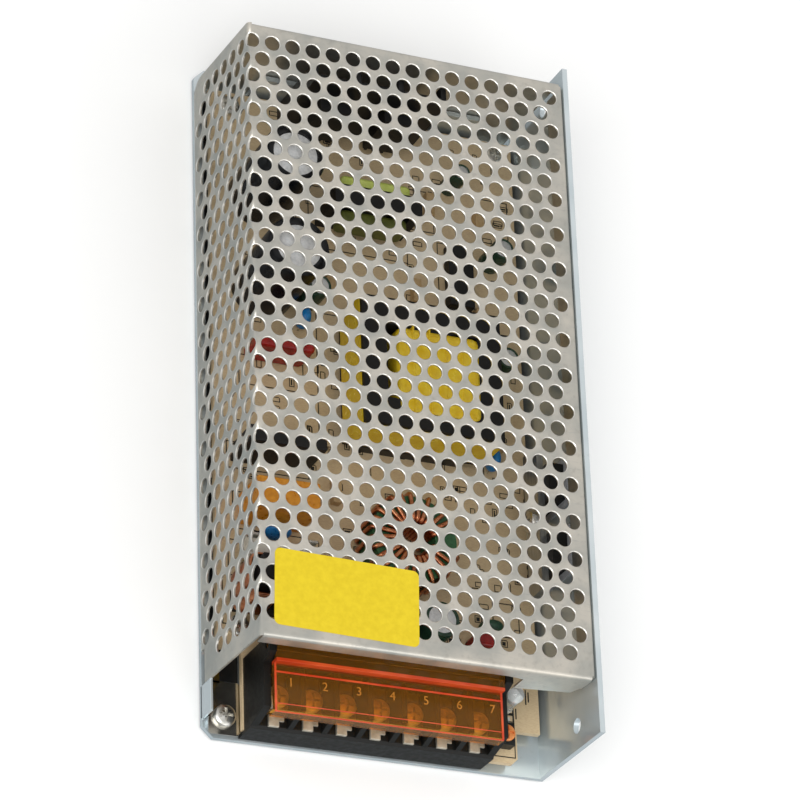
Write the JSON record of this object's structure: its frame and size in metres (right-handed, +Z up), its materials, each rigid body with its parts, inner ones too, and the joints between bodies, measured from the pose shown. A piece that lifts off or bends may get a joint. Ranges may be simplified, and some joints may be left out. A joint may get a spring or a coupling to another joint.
{
  "type": "enclosed power supply",
  "caption": "enclosed switching power supply for LED lighting: perforated folded cover on a sheet chassis, screw terminals under a hinged amber cover, indicator lamp and output adjuster",
  "frame": {"origin": "centre of the chassis floor's underside", "axes": "+X across to the full-height chassis wall, +Y along the case away from the terminals, +Z up"},
  "size_m": [0.098, 0.199, 0.0381],
  "materials": {
    "cover_paint": "light grey painted sheet",
    "chassis_sheet": "plain folded sheet, pale blue-grey",
    "label": "yellow adhesive film",
    "steel_screw": "zinc plated",
    "film": "thin insulating film",
    "board": "beige paper laminate",
    "standoff": "plated",
    "block": "black moulding",
    "plated_brass": "plated strip",
    "amber": "clear amber moulding",
    "lamp": "clear lamp",
    "trimmer": "blue moulding",
    "rotor": "orange rotor",
    "ceramic": "white ceramic tube",
    "capacitor_box": "orange-yellow box",
    "red_film": "red box",
    "disc": "blue coated disc",
    "ferrite": "dark sintered core",
    "copper": "enamelled copper wire",
    "capacitor_sleeve": "dark sleeve",
    "package": "black epoxy",
    "heatsink": "black anodised",
    "tape": "yellow tape",
    "pad": "grey thermal pad",
    "bar": "plain bar",
    "resistor": "tan body"
  },
  "bodies": {
    "case": {"base_chassis": "chassis_sheet", "perforated_cover": "cover_paint", "cover_label": "label", "cover_screws": "steel_screw", "insulating_sheet": "film", "circuit_board": "board", "board_standoffs": "standoff", "inner_screws": "steel_screw", "terminal_block": "block", "terminal_contacts": "plated_brass", "terminal_clamps": "plated_brass", "terminal_screws": "steel_screw", "indicator_led": "lamp", "trimmer_body": "trimmer", "fuse_tube": "ceramic", "fuse_clips": "steel_screw", "x_capacitor": "capacitor_box", "film_capacitor": "red_film", "disc_components": "disc", "line_choke_core": "ferrite", "line_choke_coils": "copper", "bulk_capacitors": "capacitor_sleeve", "bridge_rectifier": "package", "rear_heatsink": "heatsink", "switching_transistors": "package", "driver_transformer_core": "ferrite", "driver_transformer_coil": "tape", "main_transformer_core": "ferrite", "main_transformer_winding": "copper", "main_transformer_tape": "tape", "main_transformer_bobbin": "package", "output_choke_core": "ferrite", "output_choke_winding": "copper", "electrolytic_capacitors": "capacitor_sleeve", "insulator_pads": "pad", "output_rectifiers": "package", "clamp_bar": "bar", "control_chip": "package", "resistors": "resistor"},
    "flap": {"terminal_cover": "amber"},
    "adjuster": {"trimmer_rotor": "rotor"}
  },
  "joints": [
    {"name": "flap_hinge", "type": "hinge", "parent": "case", "child": "flap", "pos_m": [0, -0.0808, 0.0225], "axis": [-1, 0, 0], "range_deg": [0, 60]},
    {"name": "adjuster_turn", "type": "hinge", "parent": "case", "child": "adjuster", "pos_m": [0.0344, -0.091, 0.0085], "axis": [0, 0, 1], "range_deg": [-135, 135]}
  ]
}
